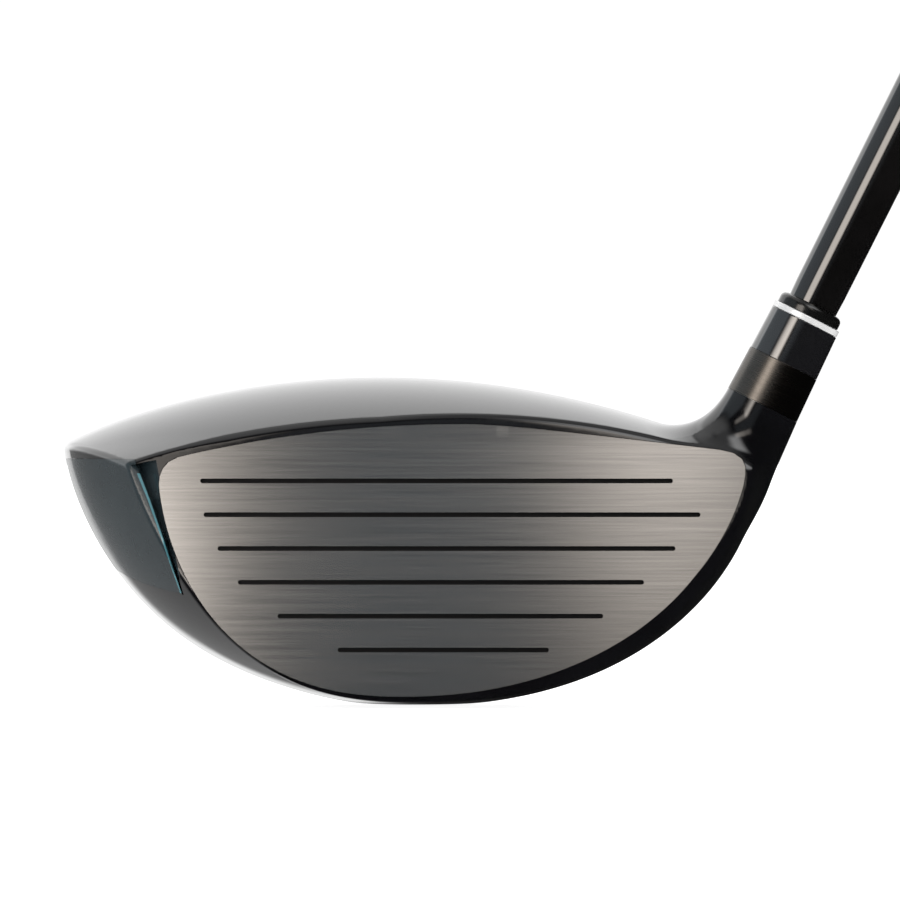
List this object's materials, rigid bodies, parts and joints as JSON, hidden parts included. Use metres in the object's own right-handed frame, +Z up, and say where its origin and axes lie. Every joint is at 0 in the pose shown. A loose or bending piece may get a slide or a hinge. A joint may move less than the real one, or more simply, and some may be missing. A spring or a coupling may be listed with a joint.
{
  "type": "golf driver",
  "caption": "Right-handed golf driver: hollow head with scored face and domed crown, adjustable hosel with sleeve, ring and bolt, tapered shaft, grip and rear weight.",
  "frame": {"origin": "centre line of the small flat pad at the bottom of the sole, below the middle of the face", "axes": "+X from toe to heel, -Y the way the face looks, +Z up with the club at its lie angle of 63.3 degrees"},
  "size_m": [0.6235, 0.1076, 1.0335],
  "materials": {
    "black_paint": "gloss",
    "face_metal": "brushed",
    "crown_paint": "gloss",
    "toe_composite": "satin",
    "liner_metal": "satin",
    "steel": "satin",
    "soft_black": "matte",
    "ring_metal": "satin",
    "sleeve_metal": "gloss",
    "bright_trim": "polished",
    "ferrule_plastic": "satin",
    "shaft_paint": "gloss",
    "plug_cork": "matte",
    "tape": "matte",
    "grip_rubber": "matte",
    "weight_metal": "satin",
    "insert_brass": "satin"
  },
  "bodies": {
    "head": {"head_body": "black_paint", "face_plate": "face_metal", "crown_shell": "crown_paint", "toe_panel": "toe_composite", "hosel_liner": "liner_metal", "bolt_washer": "steel", "bolt_retainer": "soft_black", "weight_insert": "insert_brass"},
    "bolt": {"hosel_bolt": "steel"},
    "ring": {"adjusting_ring": "ring_metal"},
    "shaft_assembly": {"adapter_sleeve": "sleeve_metal", "trim_ring": "bright_trim", "ferrule": "ferrule_plastic", "shaft": "shaft_paint", "tip_plug": "plug_cork", "grip_tape": "tape", "grip": "grip_rubber", "grip_cap": "grip_rubber"},
    "weight": {"rear_weight": "weight_metal", "weight_seal": "soft_black"},
    "weight_bolt": {"weight_screw": "steel"}
  },
  "joints": [
    {"name": "hosel_bolt_turn", "type": "hinge", "parent": "head", "child": "bolt", "pos_m": [0.03903, -0.0075, 0.02233], "axis": [0.4493, 0, 0.8934], "continuous": true},
    {"name": "adapter_lift", "type": "slide", "parent": "head", "child": "ring", "axis": [0.4493, 0, 0.8934], "range_m": [0, 0.045]},
    {"name": "sleeve_turn", "type": "hinge", "parent": "ring", "child": "shaft_assembly", "pos_m": [0.05566, -0.0075, 0.05539], "axis": [0.4493, 0, 0.8934], "continuous": true},
    {"name": "weight_out", "type": "slide", "parent": "head", "child": "weight", "axis": [0, 0.5736, -0.8192], "range_m": [0, 0.008]},
    {"name": "weight_screw_turn", "type": "hinge", "parent": "weight", "child": "weight_bolt", "pos_m": [-0.006, 0.06031, 0.01296], "axis": [0, 0.5736, -0.8192], "range_deg": [0, 3620]}
  ],
  "couplings": [
    {"joint": "weight_screw_turn", "follows": "weight_out", "rad_per_m": 7854}
  ]
}
